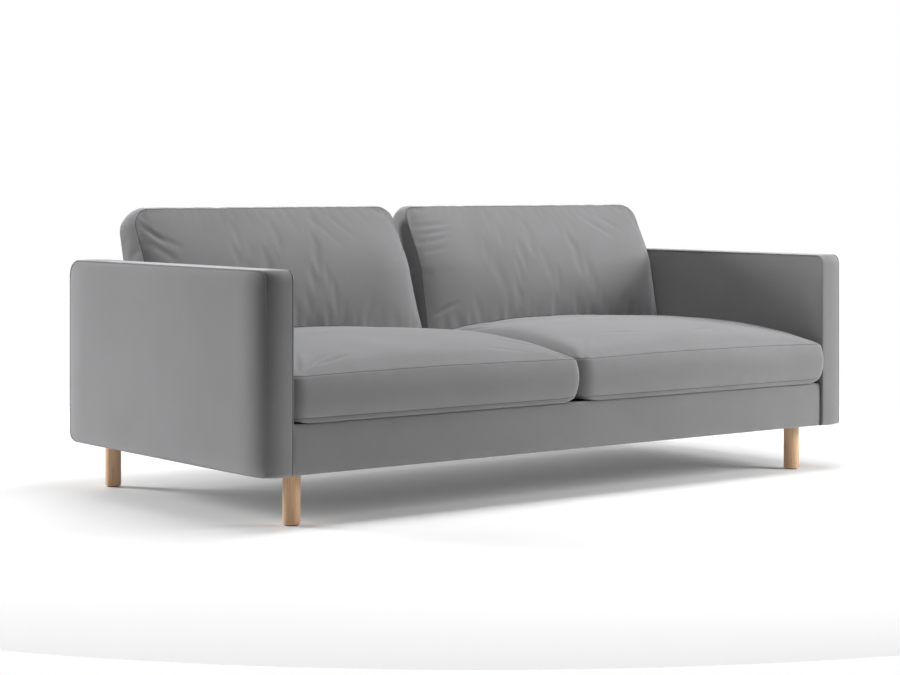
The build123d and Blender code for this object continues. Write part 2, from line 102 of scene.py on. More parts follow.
class Pad:
    """A boxed pad before it is placed: two panels sewn to a band, as quads over the outside of a block.

    s, t and w run from -1 to 1 over its length, breadth and thickness. a and b are the same places in metres
    on the panels' plane, where the four corners are rounded. out is the way that the band faces there.
    """

    def __init__(self, half_a, half_b, half_thickness, step, corner_radius):
        us, vs, ws = spaced(half_a, step), spaced(half_b, step), spaced(half_thickness, step)
        shape = (len(us), len(vs), len(ws))
        i, j, k = np.indices(shape)
        outside = (i % (shape[0] - 1) == 0) | (j % (shape[1] - 1) == 0) | (k % (shape[2] - 1) == 0)
        ids = np.full(shape, -1)
        ids[outside] = np.arange(outside.sum())
        self.half_a, self.half_b = half_a, half_b
        self.s, self.t, self.w = us[i[outside]], vs[j[outside]], ws[k[outside]]
        self.quads = np.concatenate(
            [self.side(ids[:, :, -1]), self.side(ids[:, :, 0].T), self.side(ids[-1]), self.side(ids[0].T),
             self.side(ids[:, -1].T), self.side(ids[:, 0])]
        )
        self.seams = [self.loop(ids[:, :, 0]), self.loop(ids[:, :, -1])]
        self.round_corners(corner_radius)

    @staticmethod
    def side(grid):
        """Quads over a grid of vertex numbers."""
        corners = (grid[:-1, :-1], grid[1:, :-1], grid[1:, 1:], grid[:-1, 1:])
        return np.stack([corner.ravel() for corner in corners], axis=1)

    @staticmethod
    def loop(grid):
        """The vertex numbers round a grid's edge, in order."""
        return np.concatenate([grid[:-1, 0], grid[-1, :-1], grid[:0:-1, -1], grid[0, :0:-1]])

    def round_corners(self, corner_radius):
        """Bends the corners of the panels' outline into arcs. corner_radius takes the signs of a and b."""
        a, b = self.s * self.half_a, self.t * self.half_b
        out = np.zeros((len(a), 2))
        out[np.abs(self.s) == 1, 0] = np.sign(self.s[np.abs(self.s) == 1])
        out[np.abs(self.t) == 1, 1] = np.sign(self.t[np.abs(self.t) == 1])
        for sign_a in (-1, 1):
            for sign_b in (-1, 1):
                radius = corner_radius(sign_a, sign_b)
                centre = np.array([self.half_a - radius, self.half_b - radius])
                reach = np.stack([a * sign_a, b * sign_b], axis=1) - centre
                here = (reach > 1e-9).all(axis=1)
                length = np.hypot(*reach[here].T)
                square = reach[here].max(axis=1)
                direction = reach[here] / length[:, None]
                arc = centre + direction * square[:, None]
                a[here], b[here] = sign_a * arc[:, 0], sign_b * arc[:, 1]
                on_band = square > radius - 1e-6
                out[np.flatnonzero(here)[on_band]] = (direction * (sign_a, sign_b))[on_band]
        self.a, self.b, self.out = a, b, out

    def edge_distance(self):
        """How far each point of a panel is from its outline, in metres."""
        return np.minimum(self.half_a - np.abs(self.a), self.half_b - np.abs(self.b))

    def bulge(self):
        """1 along the middle of the band and 0 at its seams."""
        return np.where(np.abs(self.w) < 1, 1 - self.w**2, 0)


def plateau(x, power):
    """1 over most of -1 to 1, and down to 0 at its ends: the higher the power, the steeper."""
    return np.sqrt(np.clip(1 - np.abs(x) ** power, 0, 1))


def rounded(distance, run, power):
    """0 at an edge and 1 from run metres inside it: the higher the power, the steeper its start."""
    return 1 - np.clip(1 - distance / run, 0, 1) ** power


def smooth_step(x, low, high):
    """0 below low, 1 above high, and a smooth rise between them."""
    f = np.clip((x - low) / (high - low), 0, 1)
    return f * f * (3 - 2 * f)


def ripple(points, scale, seed):
    """Smooth noise from about -1 to 1 at each point. scale is its wavelength in metres."""
    shift = Vector((seed * 7.1, seed * 3.7, seed * 5.3))
    return np.array([noise.noise(Vector(p) / scale + shift) for p in points])


def crease(points, start, end, width, depth):
    """How far a soft fold from start to end moves each point: in along its middle, a little out beside it."""
    start, end = np.array(start), np.array(end)
    along = end - start
    length = np.linalg.norm(along)
    along = along / length
    reach = points - start
    far = reach @ along
    across = np.linalg.norm(reach - far[:, None] * along, axis=1)
    fade_in = smooth_step(far, -0.25 * length, 0.35 * length)
    fade_out = 1 - smooth_step(far, 0.55 * length, 1.2 * length)
    q = (across / width) ** 2
    return -depth * fade_in * fade_out * (1 - 0.9 * q) * np.exp(-q)


def subdivide(piece):
    """One level of subdivision, applied."""
    modifier = piece.modifiers.new("Subdivision", "SUBSURF")
    modifier.levels = modifier.render_levels = 1
    apply_modifiers(piece)


def apply_modifiers(piece):
    """Replaces the piece's mesh with the one its modifiers give."""
    depsgraph = bpy.context.evaluated_depsgraph_get()
    mesh = bpy.data.meshes.new_from_object(piece.evaluated_get(depsgraph))
    piece.modifiers.clear()
    old, piece.data = piece.data, mesh
    bpy.data.meshes.remove(old)
    mesh.name = piece.name


# ---- cloth ----


def inflate(pieces, frames=20):
    """Lets the cloth of some pads settle under the pressure of their filling, all in one run.

    Each entry gives the piece, its sewn points, how full its cloth is cut, the pressure, and how far a point
    may move.
    """
    before = {}
    for piece, sewn, fullness, pressure, _ in pieces:
        before[piece.name] = points_of(piece)
        held = piece.vertex_groups.new(name="sewn")
        held.add([int(n) for n in sewn], 1.0, "REPLACE")
        cloth = piece.modifiers.new("Cloth", "CLOTH")
        settings = cloth.settings
        settings.quality = 4
        settings.tension_stiffness = settings.compression_stiffness = 25
        settings.shear_stiffness = 8
        settings.bending_stiffness = 3
        settings.use_pressure = True
        settings.uniform_pressure_force = pressure
        settings.effector_weights.gravity = 0
        settings.vertex_group_mass = "sewn"
        settings.vertex_group_shrink = "sewn"
        settings.shrink_min = -fullness
        settings.shrink_max = 0
    for number in range(1, frames + 1):
        scene.frame_set(number)
    depsgraph = bpy.context.evaluated_depsgraph_get()
    for piece, _, _, _, cap in pieces:
        settled = np.array([v.co for v in piece.evaluated_get(depsgraph).data.vertices])
        piece.modifiers.clear()
        moved = settled - before[piece.name]
        length = np.linalg.norm(moved, axis=1, keepdims=True)
        moved *= cap * np.tanh(length / cap) / np.maximum(length, 1e-9)
        move_points(piece, before[piece.name] + moved)
    scene.frame_set(1)


def surface(piece):
    """A search tree over the piece's faces."""
    depsgraph = bpy.context.evaluated_depsgraph_get()
    return BVHTree.FromObject(piece, depsgraph)


def ring(points, normals, radius, sides=6):
    """Points and quads of a closed round tube through points, lifted along normals."""
    count = len(points)
    along = np.roll(points, -1, axis=0) - np.roll(points, 1, axis=0)
    along /= np.linalg.norm(along, axis=1, keepdims=True)
    across = np.cross(along, normals)
    across /= np.linalg.norm(across, axis=1, keepdims=True)
    up = np.cross(across, along)
    angles = np.arange(sides) * 2 * math.pi / sides
    tube = points[:, None] + radius * (
        np.cos(angles)[None, :, None] * across[:, None] + np.sin(angles)[None, :, None] * up[:, None]
    )
    here = np.arange(count)[:, None] * sides + np.arange(sides)[None]
    ahead = np.roll(here, -1, axis=0)
    quads = np.stack([here, ahead, np.roll(ahead, -1, axis=1), np.roll(here, -1, axis=1)], axis=2)
    return tube.reshape(-1, 3), quads.reshape(-1, 4)


# ---- materials ----


def new_material(name, roughness):
    """A material with its nodes, its shader and its object coordinates."""
    material = bpy.data.materials.new(name)
    material.use_nodes = True
    tree = material.node_tree
    shader = tree.nodes["Principled BSDF"]
    shader.inputs["Roughness"].default_value = roughness
    place = tree.nodes.new("ShaderNodeTexCoord")
    return material, tree, shader, place.outputs["Object"]


def noise_node(tree, place, scale, detail, stretch=(1, 1, 1), distortion=0.0):
    """A noise texture over stretched object coordinates."""
    mapping = tree.nodes.new("ShaderNodeMapping")
    mapping.inputs["Scale"].default_value = stretch
    tree.links.new(place, mapping.inputs["Vector"])
    texture = tree.nodes.new("ShaderNodeTexNoise")
    texture.inputs["Scale"].default_value = scale
    texture.inputs["Detail"].default_value = detail
    texture.inputs["Distortion"].default_value = distortion
    tree.links.new(mapping.outputs["Vector"], texture.inputs["Vector"])
    return texture.outputs["Fac"]


def ramp(tree, value, stops):
    """A colour ramp over a value. stops are (place, (r, g, b))."""
    node = tree.nodes.new("ShaderNodeValToRGB")
    elements = node.color_ramp.elements
    while len(elements) < len(stops):
        elements.new(0.5)
    for element, (position, colour) in zip(elements, stops):
        element.position = position
        element.color = (*colour, 1)
    tree.links.new(value, node.inputs["Fac"])
    return node.outputs["Color"]


def mixed(tree, blend, factor, first, second):
    """Two colours mixed. factor is a number or a socket."""
    node = tree.nodes.new("ShaderNodeMix")
    node.data_type = "RGBA"
    node.blend_type = blend
    if isinstance(factor, float):
        node.inputs[0].default_value = factor
    else:
        tree.links.new(factor, node.inputs[0])
    tree.links.new(first, node.inputs[6])
    tree.links.new(second, node.inputs[7])
    return node.outputs[2]


def bumped(tree, shader, layers):
    """Bump layers of (height, strength, distance), each over the last, on the shader's normal."""
    normal = None
    for height, strength, distance in layers:
        bump = tree.nodes.new("ShaderNodeBump")
        bump.inputs["Strength"].default_value = strength
        bump.inputs["Distance"].default_value = distance
        tree.links.new(height, bump.inputs["Height"])
        if normal:
            tree.links.new(normal, bump.inputs["Normal"])
        normal = bump.outputs["Normal"]
    tree.links.new(normal, shader.inputs["Normal"])


def velour(name, tone):
    """Short-pile grey cloth: a fine pile, faint threads under it, and patches where the pile lies over."""
    material, tree, shader, place = new_material(name, 0.88)
    light, dark = tone * 1.03, tone * 0.97
    patches = ramp(
        tree,
        noise_node(tree, place, 5, 4, (1, 1, 1), 0.4),
        [(0.38, (dark, dark, dark * 1.012)), (0.62, (light, light, light * 1.018))],
    )
    pile = ramp(tree, noise_node(tree, place, 900, 2), [(0.3, (0.86,) * 3), (0.7, (1.0,) * 3)])
    tree.links.new(mixed(tree, "MULTIPLY", 0.6, patches, pile), shader.inputs["Base Color"])
    shader.inputs["Specular IOR Level"].default_value = 0.25
    shader.inputs["Sheen Weight"].default_value = 0.5
    shader.inputs["Sheen Roughness"].default_value = 0.5
    shader.inputs["Sheen Tint"].default_value = (0.92, 0.92, 0.95, 1)
    bumped(
        tree,
        shader,
        [
            (noise_node(tree, place, 24, 2), 0.05, 0.004),
            (noise_node(tree, place, 700, 3), 0.35, 0.0006),
        ],
    )
    return material


def wood(name, light, dark, grain_axis, roughness, ring_scale=16.0):
    """Timber: growth rings drawn out along the grain, fine pores, and now and then a darker streak."""
    material, tree, shader, place = new_material(name, roughness)
    stretch = [1.0, 1.0, 1.0]
    stretch[grain_axis] = 0.07
    broad = noise_node(tree, place, ring_scale, 4, stretch, 1.2)
    fine_stretch = [1.0, 1.0, 1.0]
    fine_stretch[grain_axis] = 0.03
    pores = noise_node(tree, place, 420, 2, fine_stretch)
    middle = tuple((a + b) / 2 for a, b in zip(light, dark))
    colour = ramp(tree, broad, [(0.32, dark), (0.5, middle), (0.62, light)])
    pore_tone = ramp(tree, pores, [(0.36, (0.72, 0.68, 0.62)), (0.52, (1.0, 1.0, 1.0))])
    tree.links.new(mixed(tree, "MULTIPLY", 0.75, colour, pore_tone), shader.inputs["Base Color"])
    bumped(tree, shader, [(pores, 0.25, 0.0004)])
    return material


def metal(name, tone, roughness):
    """Plated or oiled steel with fine scratches."""
    material, tree, shader, place = new_material(name, roughness)
    colour = ramp(tree, noise_node(tree, place, 60, 3), [(0.3, (tone * 0.8,) * 3), (0.7, (tone,) * 3)])
    tree.links.new(colour, shader.inputs["Base Color"])
    shader.inputs["Metallic"].default_value = 1
    bumped(tree, shader, [(noise_node(tree, place, 900, 2, (1, 1, 0.1)), 0.2, 0.0002)])
    return material


def coarse_cloth(name, colour, threads):
    """Plain woven or spun cloth, for straps, dust covers and wadding. threads is per metre."""
    material, tree, shader, place = new_material(name, 0.95)
    dark = tuple(0.6 * c for c in colour)
    weave = noise_node(tree, place, threads, 2, (1, 0.25, 1))
    tree.links.new(ramp(tree, weave, [(0.35, dark), (0.6, colour)]), shader.inputs["Base Color"])
    shader.inputs["Sheen Weight"].default_value = 0.1
    bumped(tree, shader, [(weave, 0.5, 0.0008)])
    return material


def foam(name, colour):
    """Open-cell foam."""
    material, tree, shader, place = new_material(name, 0.95)
    cells = tree.nodes.new("ShaderNodeTexVoronoi")
    cells.inputs["Scale"].default_value = 500
    tree.links.new(place, cells.inputs["Vector"])
    dark = tuple(0.7 * c for c in colour)
    tree.links.new(
        ramp(tree, cells.outputs["Distance"], [(0.1, dark), (0.5, colour)]), shader.inputs["Base Color"]
    )
    bumped(tree, shader, [(cells.outputs["Distance"], 0.4, 0.001)])
    return material


def plastic(name, tone):
    """Matt moulded plastic."""
    material, tree, shader, place = new_material(name, 0.5)
    colour = ramp(tree, noise_node(tree, place, 40, 3), [(0.3, (tone * 0.85,) * 3), (0.7, (tone,) * 3)])
    tree.links.new(colour, shader.inputs["Base Color"])
    bumped(tree, shader, [(noise_node(tree, place, 1500, 2), 0.15, 0.0002)])
    return material


GRAIN_X, GRAIN_Y, GRAIN_Z = range(3)
CLOTH_TONE = 0.21
cloth = velour("velour", CLOTH_TONE)
cushion_cloth = velour("cushion_velour", CLOTH_TONE * 1.06)
# Cushion seam tubes at 0.35 of the cloth's tone: painted shade, standing in for the shade in the sunk seams
seam_shade_cloth = velour("painted_seam_shade", CLOTH_TONE * 0.35)
SLOT_MATERIALS = {
    "leg_oak": wood("oak", (0.78, 0.50, 0.30), (0.67, 0.42, 0.24), GRAIN_Z, 0.42),
    "glide_plastic": plastic("glide_plastic", 0.05),
    "zinc_steel": metal("zinc_plate", 0.62, 0.35),
    "spring_steel": metal("spring_wire", 0.3, 0.4),
    "cushion_cloth": cushion_cloth,
    "frame_cloth": cloth,
    "cushion_foam": foam("cushion_foam", (0.8, 0.76, 0.6)),
    "padding_foam": foam("padding_foam", (0.78, 0.76, 0.68)),
    "dust_cloth": coarse_cloth("dust_cloth", (0.02, 0.02, 0.021), 600),
    "webbing": coarse_cloth("webbing", (0.45, 0.37, 0.25), 700),
    "hardboard": wood("hardboard", (0.25, 0.16, 0.09), (0.19, 0.12, 0.07), GRAIN_Y, 0.7, 90.0),
    "plywood": wood("plywood", (0.66, 0.52, 0.35), (0.52, 0.38, 0.24), GRAIN_Z, 0.65),
    "frame_pine": wood("pine", (0.74, 0.55, 0.33), (0.58, 0.39, 0.2), GRAIN_X, 0.6),
}


def paint_frame():
    """Gives every node of the frame its slot's material."""
    for entry in frame["record"]["subparts"]:
        node = frame["nodes"][entry["node"]]
        material = SLOT_MATERIALS[entry["material_slot"]]
        if not node.material_slots:
            node.data.materials.append(material)
        for holder in node.material_slots:
            holder.material = material


def finish_piece(piece, body, material, replaced=()):
    """Material, body and replaced nodes of a finished piece."""
    piece.data.materials.clear()
    piece.data.materials.append(material)
    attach(piece, body)
    if replaced:
        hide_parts(*replaced)


# ---- arms ----

ARM_RADII = {(-1, -1): 0.010, (-1, 1): 0.026, (1, -1): 0.036, (1, 1): 0.054}
ARM_PILLOW = 0.0105  # how far the outer panel stands proud of its seam
ARM_PILLOW_RUN = (0.11, 0.060)  # how far in from its upright and level edges the outer panel goes on rising
ARM_BAND = 0.0025
ARM_SEAM_SINK = 0.0016
ARM_SEAM_RADIUS = 0.0017
ARM_SEAM_RISE = 0.0018
ARM_NOSE_RUN = 0.12
ARM_NOSE = {"left": 0.010, "right": 0.004}  # how far the outer seam is drawn in round the arm's front edge


def make_arm(side_name, side):
    """An arm: a pillowed outer panel and a flat inner one sewn to a band, its front edge rounded."""
    low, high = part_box(f"arm_cover_{side_name}")
    centre, half = (low + high) / 2, (high - low) / 2
    half_thickness = half.x - INSET
    pad = Pad(half.y - INSET, half.z - INSET, half_thickness, 0.011, lambda sa, sb: ARM_RADII[(sa, sb)])
    band = ARM_BAND * pad.bulge()
    rise_y = rounded(pad.half_a - np.abs(pad.a), ARM_PILLOW_RUN[0], 2.4) ** 0.75
    rise_z = rounded(pad.half_b - np.abs(pad.b), ARM_PILLOW_RUN[1], 2.4) ** 0.75
    pillow = np.where(pad.w == side, side * ARM_PILLOW * rise_y * rise_z, 0)
    points = np.stack(
        [
            centre.x + pad.w * half_thickness + pillow,
            centre.y + pad.a + pad.out[:, 0] * band,
            centre.z + pad.b + pad.out[:, 1] * band,
        ],
        axis=1,
    )
    near_front = 1 - rounded(pad.a + pad.half_a, ARM_NOSE_RUN, 2.4)
    outward = np.clip(pad.w * side, 0, 1)
    points[:, 0] -= side * ARM_NOSE[side_name] * near_front * outward**3
    round_in = np.clip((pad.w * side + 0.4) / 1.4, 0, 1) ** 2
    points[:, 1] += 1.5 * ARM_NOSE[side_name] * near_front * round_in
    wander = ripple(points, 0.20, 3 + side) + 0.3 * ripple(points, 0.07, 11 + side)
    points[:, 0] += pillow / ARM_PILLOW * 0.0009 * wander
    for sign, loop in zip((-1, 1), pad.seams):
        points[loop, 0] -= sign * ARM_SEAM_SINK
        points[loop, 1:] -= pad.out[loop] * ARM_SEAM_SINK
    arm = make_piece(f"arm_{side_name}", points, pad.quads)
    subdivide(arm)
    nodes = (f"arm_cover_{side_name}", f"arm_padding_{side_name}")
    finish_piece(arm, "sofa_frame", cloth, nodes)
    for number, (sign, loop) in enumerate(zip((-1.0, 1.0), pad.seams), 1):
        normals = np.tile((sign, 0.0, 0.0), (len(loop), 1))
        normals[:, 1:] += pad.out[loop]
        normals /= np.linalg.norm(normals, axis=1, keepdims=True)
        tube, quads = ring(points[loop] + normals * ARM_SEAM_RISE, normals, ARM_SEAM_RADIUS)
        seam = make_piece(f"arm_seam_{side_name}_{number}", tube, quads)
        finish_piece(seam, "sofa_frame", cloth)


# ---- front rail, deck and back ----


def rail_drop(y):
    """How far the front rail's top edge is rounded down at each y."""
    drop, start_y, run = 0.012, -0.494, 0.018
    return drop * (1 - np.sqrt(1 - np.clip((start_y - y) / run, 0, 1) ** 2))


def make_front_rail():
    """The padded front rail: a soft-edged band between the arms, its cloth pulled in at both ends."""
    low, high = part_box("front_rail_cover")
    centre, half = (low + high) / 2, (high - low) / 2
    edge = 0.004
    pad = Pad(half.x - INSET, half.z - edge, half.y - edge, 0.012, lambda sa, sb: 0.005)
    x = centre.x + pad.a
    z = centre.z + pad.b + pad.out[:, 1] * edge * np.where(pad.out[:, 1] > 0, pad.bulge(), 1)
    ends = rounded(pad.half_a - np.abs(pad.a), 0.014, 2.5)
    level = rounded(pad.half_b - np.abs(pad.b), 0.035, 2.5)
    forward = edge * ends * level
    y = centre.y - pad.w * (half.y - edge) - np.where(pad.w == 1, forward, 0)
    points = np.stack([x, y, z], axis=1)
    wave = ripple(points, 0.22, 21) + 0.5 * ripple(points * (1, 1, 0.3), 0.07, 22)
    points[:, 1] += np.where(pad.w == 1, 0.0011 * wave * ends * level, 0)
    points[:, 2] -= rail_drop(points[:, 1]) * smooth_step(points[:, 2], high.z - 0.036, high.z)
    rail = make_piece("front_rail", points, pad.quads)
    subdivide(rail)
    finish_piece(rail, "sofa_frame", cloth, ("front_rail_cover", "front_rail_padding"))


def make_deck():
    """The cloth-covered deck under the seat cushions, slightly hollow between its edges."""
    low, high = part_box("deck_pad")
    centre, half = (low + high) / 2, (high - low) / 2
    pad = Pad(half.x - 0.001, half.y - 0.001, half.z - 0.001, 0.016, lambda sa, sb: 0.006)
    points = np.stack([centre.x + pad.a, centre.y + pad.b, centre.z + pad.w * (half.z - 0.001)], axis=1)
    inner = smooth_step(pad.edge_distance(), 0, 0.05)
    wave = ripple(points, 0.12, 31)
    points[:, 2] -= np.where(pad.w == 1, (0.0016 + 0.001 * wave) * inner, 0)
    deck = make_piece("seat_deck", points, pad.quads)
    finish_piece(deck, "sofa_frame", lining_cloth, ("deck_pad",))


def arc(centre, radius, degrees):
    """Points round a centre, at the given angles."""
    turns = np.radians(degrees)
    return list(zip(centre[0] + radius * np.cos(turns), centre[1] + radius * np.sin(turns)))


def back_path():
    """The back cloth's line from its flap under the rear edge, over the top and down the lean, as (y, z)."""
    low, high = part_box("back_cover")
    foot_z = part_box("deck_pad")[0].z
    rear_round, front_round, step = 0.030, 0.014, 0.012
    rear_y, under_z = high.y - INSET, low.z + INSET
    lean_top_y = low.y + (high.z - foot_z) * math.tan(LEAN)
    path = [(high.y - 0.014, under_z), (high.y - 0.004, under_z), (rear_y, low.z + 0.004)]
    path += [(rear_y, z) for z in np.arange(low.z + 0.016, high.z - rear_round, step)]
    path += arc((high.y - rear_round, high.z - rear_round), rear_round, np.arange(0, 91, 10))
    level_ys = np.arange(high.y - rear_round - step, lean_top_y + front_round + step / 2, -step)
    path += [(y, high.z) for y in level_ys]
    path += arc((lean_top_y + front_round, high.z - front_round), front_round, np.arange(90, 166, 12.5))
    top = path[-1]
    for drop in np.arange(step, top[1] - foot_z, step):
        path.append((top[0] - drop * math.tan(LEAN), top[1] - drop))
    return np.array(path)


def make_back():
    """The back's cloth: one wide panel stretched over the top, with soft waves in it behind."""
    low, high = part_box("back_cover")
    path = back_path()
    along = np.gradient(path, axis=0)
    along /= np.linalg.norm(along, axis=1, keepdims=True)
    inward = np.stack([-along[:, 1], along[:, 0]], axis=1)
    half_width = high.x - INSET
    xs = spaced(half_width, 0.016) * half_width
    points = np.concatenate([np.column_stack([np.full(len(path), x), path]) for x in xs])
    from_arm = smooth_step(high.x - np.abs(points[:, 0]), 0.0, 0.05)
    from_lean = smooth_step(points[:, 1], high.y - 0.12, high.y - 0.06)
    wave = (1.2 + 0.8 * ripple(points, 0.25, 41)) * from_arm * from_lean
    points[:, 1:] -= np.tile(inward, (len(xs), 1)) * 0.0012 * wave[:, None]
    grid = np.arange(len(points)).reshape(len(xs), len(path))
    back = make_piece("back_upholstery", points, Pad.side(grid.T))
    thicken = back.modifiers.new("Cloth thickness", "SOLIDIFY")
    thicken.thickness = 0.003
    thicken.offset = -1
    apply_modifiers(back)
    finish_piece(back, "sofa_frame", cloth, ("back_cover",))


# ---- seat cushions ----

SEAT_SEAM_TOP = 0.376
SEAT_SEAM_BOTTOM = 0.2725
SEAT_STEP = 0.0095
SEAM_SINK = 0.0032
SEAT_UNDERSIDE = 0.0112  # how far the underside is below its seam
ROLL_INSETS = (0, *FINE, 0.016, 0.03)  # the roll of cloth before the rail, by distance from the seam
ROLL_DROPS = (0, 0.006, 0.0145, SEAT_UNDERSIDE, SEAT_UNDERSIDE)
ROLL_REACHES = (0, 0.004, 0.0055, 0, 0)


def seat_crown(pad):
    """How far the top panel of a seat cushion stands above its seam."""
    front = rounded(pad.b + pad.half_b, 0.46, 2.6) ** 0.75
    rear = np.where(pad.t > 0, plateau(pad.t, 16), 1)
    height = 0.046 + 0.027 * (1 - pad.s**2)
    slope = 0.010 * smooth_step(pad.b, -0.02, 0.75 * pad.half_b)
    return (height - slope) * front * rear * plateau(pad.s, 18)


def make_seat_cushion(side_name, side):
    """A boxed seat cushion before its cloth settles: a crowned top, a full front and a flat underside."""
    low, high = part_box(f"seat_cushion_cover_{side_name}")
    centre, half = (low + high) / 2, (high - low) / 2
    half_thickness = (SEAT_SEAM_TOP - SEAT_SEAM_BOTTOM) / 2
    corner = {(-1, -1): 0.038, (1, -1): 0.017 if side < 0 else 0.013, (-1, 1): 0.028, (1, 1): 0.028}
    pad = Pad(half.x - 0.0015, half.y - 0.004, half_thickness, SEAT_STEP, lambda sa, sb: corner[(sa, sb)])
    facing_front = np.clip(-pad.out[:, 1], 0, 1)
    band = (0.0035 + 0.0085 * facing_front) * pad.bulge()
    x = centre.x + pad.a + pad.out[:, 0] * band
    y = centre.y + pad.b + pad.out[:, 1] * band
    seam_top = SEAT_SEAM_TOP + 0.005 * (1 - pad.s**2)
    inset = pad.edge_distance()
    lower = SEAT_SEAM_BOTTOM - SEAT_UNDERSIDE * rounded(inset, 0.03, 2)
    along_front = smooth_step(pad.half_a - np.abs(pad.a), -0.01, 0.05) * (inset == pad.b + pad.half_b)
    rolled = SEAT_SEAM_BOTTOM - np.interp(inset, ROLL_INSETS, ROLL_DROPS)
    lower += (rolled - lower) * along_front
    y -= np.where(pad.w == -1, along_front * np.interp(inset, ROLL_INSETS, ROLL_REACHES), 0)
    z = np.where(
        pad.w == 1,
        seam_top + seat_crown(pad),
        np.where(pad.w == -1, lower, SEAT_SEAM_BOTTOM + (pad.w + 1) / 2 * (seam_top - SEAT_SEAM_BOTTOM)),
    )
    to_corner = np.hypot(pad.half_a - np.abs(pad.a), pad.half_b + pad.b)
    z += 0.005 * np.exp(-((to_corner / 0.034) ** 2)) * (1 - pad.w) / 2
    if side < 0:
        x -= 0.010 * smooth_step(pad.a, pad.half_a - 0.12, pad.half_a) * (1 - smooth_step(pad.b, -0.2, 0.1))
    else:
        at_front = 1 - smooth_step(pad.b, -pad.half_b, -0.3)
        y -= 0.008 * smooth_step(pad.a, pad.half_a - 0.15, pad.half_a) * at_front
    points = np.stack([x, y, z], axis=1)
    for loop in pad.seams:
        points[loop, :2] -= pad.out[loop] * SEAM_SINK
    cushion = make_piece(f"seat_cushion_{side_name}", points, pad.quads)
    sewn = np.union1d(np.concatenate(pad.seams), np.flatnonzero(pad.w == -1))
    return cushion, pad, sewn


SEAT_CREASES = {
    "left": [
        ((-0.44, -0.36), (-0.36, -0.22), 0.013, 0.0030),
        ((-0.42, -0.35), (-0.30, -0.27), 0.011, 0.0026),
        ((-0.45, -0.30), (-0.41, -0.14), 0.012, 0.0024),
        ((-0.36, -0.33), (-0.24, -0.29), 0.010, 0.0016),
        ((0.40, -0.30), (0.28, -0.20), 0.012, 0.0018),
        ((0.20, -0.30), (0.31, -0.33), 0.009, 0.0012),
    ],
    "right": [
        ((-0.44, -0.35), (-0.35, -0.25), 0.012, 0.0020),
        ((0.44, -0.34), (0.36, -0.22), 0.013, 0.0022),
        ((-0.25, -0.22), (-0.13, -0.25), 0.012, 0.0012),
        ((0.05, -0.27), (0.16, -0.24), 0.012, 0.0012),
    ],
}


def dress_seat_cushion(cushion, side_name):
    """Creases and gathers of a seat cushion, on its subdivided mesh, and room for its neighbours."""
    low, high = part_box(f"seat_cushion_cover_{side_name}")
    centre = (low + high) / 2
    points, normals = points_of(cushion), normals_of(cushion)
    plan = points[:, :2] - (centre.x, centre.y)
    on_top = smooth_step(normals[:, 2], 0.3, 0.7)
    shift = np.zeros(len(points))
    for start, end, width, depth in SEAT_CREASES[side_name]:
        shift += on_top * crease(plan, start, end, width, depth)
    shift += on_top * 0.0014 * ripple(points, 0.11, 51 + len(side_name))
    on_front = smooth_step(-normals[:, 1], 0.3, 0.8)
    folds = ripple(points * (1, 1, 0.25), 0.035, 57 + len(side_name))
    near_seam = np.exp(-(((points[:, 2] - SEAT_SEAM_BOTTOM) / 0.022) ** 2))
    near_seam += np.exp(-(((points[:, 2] - SEAT_SEAM_TOP) / 0.018) ** 2))
    shift += on_front * 0.0009 * folds * near_seam
    shift += on_front * 0.0012 * ripple(points * (1, 1, 0.5), 0.16, 61)
    points += normals * shift[:, None]
    points[:, 0] = np.clip(points[:, 0], low.x, high.x)
    points[:, 2] = np.maximum(points[:, 2], low.z - rail_drop(points[:, 1]))
    move_points(cushion, points)


# ---- back cushions ----

BACK_FOOT_Y = 0.205
BACK_FOOT_Z = 0.413
CLEARANCE = 0.001  # between a back cushion and the seat cushion that it stands on
BACK_HALF_LENGTH = 0.182
BACK_STEP = 0.0095


def make_back_cushion(side_name, side):
    """A boxed back cushion before its cloth settles, leaning on the back: full in front, thinner above."""
    low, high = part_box(f"back_cushion_cover_{side_name}")
    centre_x, half_x = (low.x + high.x) / 2, (high.x - low.x) / 2
    corner = {(-1, -1): 0.022, (1, -1): 0.022, (-1, 1): 0.054 if side < 0 else 0.026, (1, 1): 0.050}
    pad = Pad(half_x - 0.001, BACK_HALF_LENGTH, 0.047, BACK_STEP, lambda sa, sb: corner[(sa, sb)])
    up = pad.b + pad.half_b
    depth = 0.102 - 0.034 * smooth_step(up, 0.16, 0.36)
    front_share = (pad.w + 1) / 2
    ends = rounded(pad.half_a - np.abs(pad.a), 0.16, 2.2) ** 0.8
    crown = 0.038 * ends * (1 - np.abs(pad.t + 0.12) ** 2.4 / 1.12**2.4).clip(0)
    out = depth * front_share + 0.0035 + np.where(pad.w == 1, crown, 0)
    behind = 0.010 * smooth_step(up, 0.24, 0.33) * plateau(pad.s, 6) * plateau(pad.t, 4)
    out -= np.where(pad.w == -1, behind, 0)
    band = (0.001 + 0.0095 * np.clip(pad.out[:, 1], 0, 1)) * pad.bulge()
    beside_arm = np.where(pad.s * side > 0, pad.s, 0)
    x = centre_x + pad.a - front_share * 0.010 * beside_arm
    if side < 0:
        taper = 0.014 + 0.033 * (1 - np.exp(-np.clip(up, 0, 1) / 0.12))
        x -= taper * smooth_step(pad.a, 0, pad.half_a) * (0.4 + 0.6 * front_share)
    x += pad.out[:, 0] * band
    up = up + pad.out[:, 1] * band
    base_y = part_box("back_cover")[0].y + (BACK_FOOT_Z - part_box("deck_pad")[0].z) * math.tan(LEAN)
    y = base_y + up * math.sin(LEAN) - out * math.cos(LEAN)
    z = BACK_FOOT_Z + up * math.cos(LEAN) + out * math.sin(LEAN)
    points = np.stack([x, y, z], axis=1)
    cushion = make_piece(f"back_cushion_{side_name}", points, pad.quads)
    sewn = np.concatenate(pad.seams)
    return cushion, pad, sewn


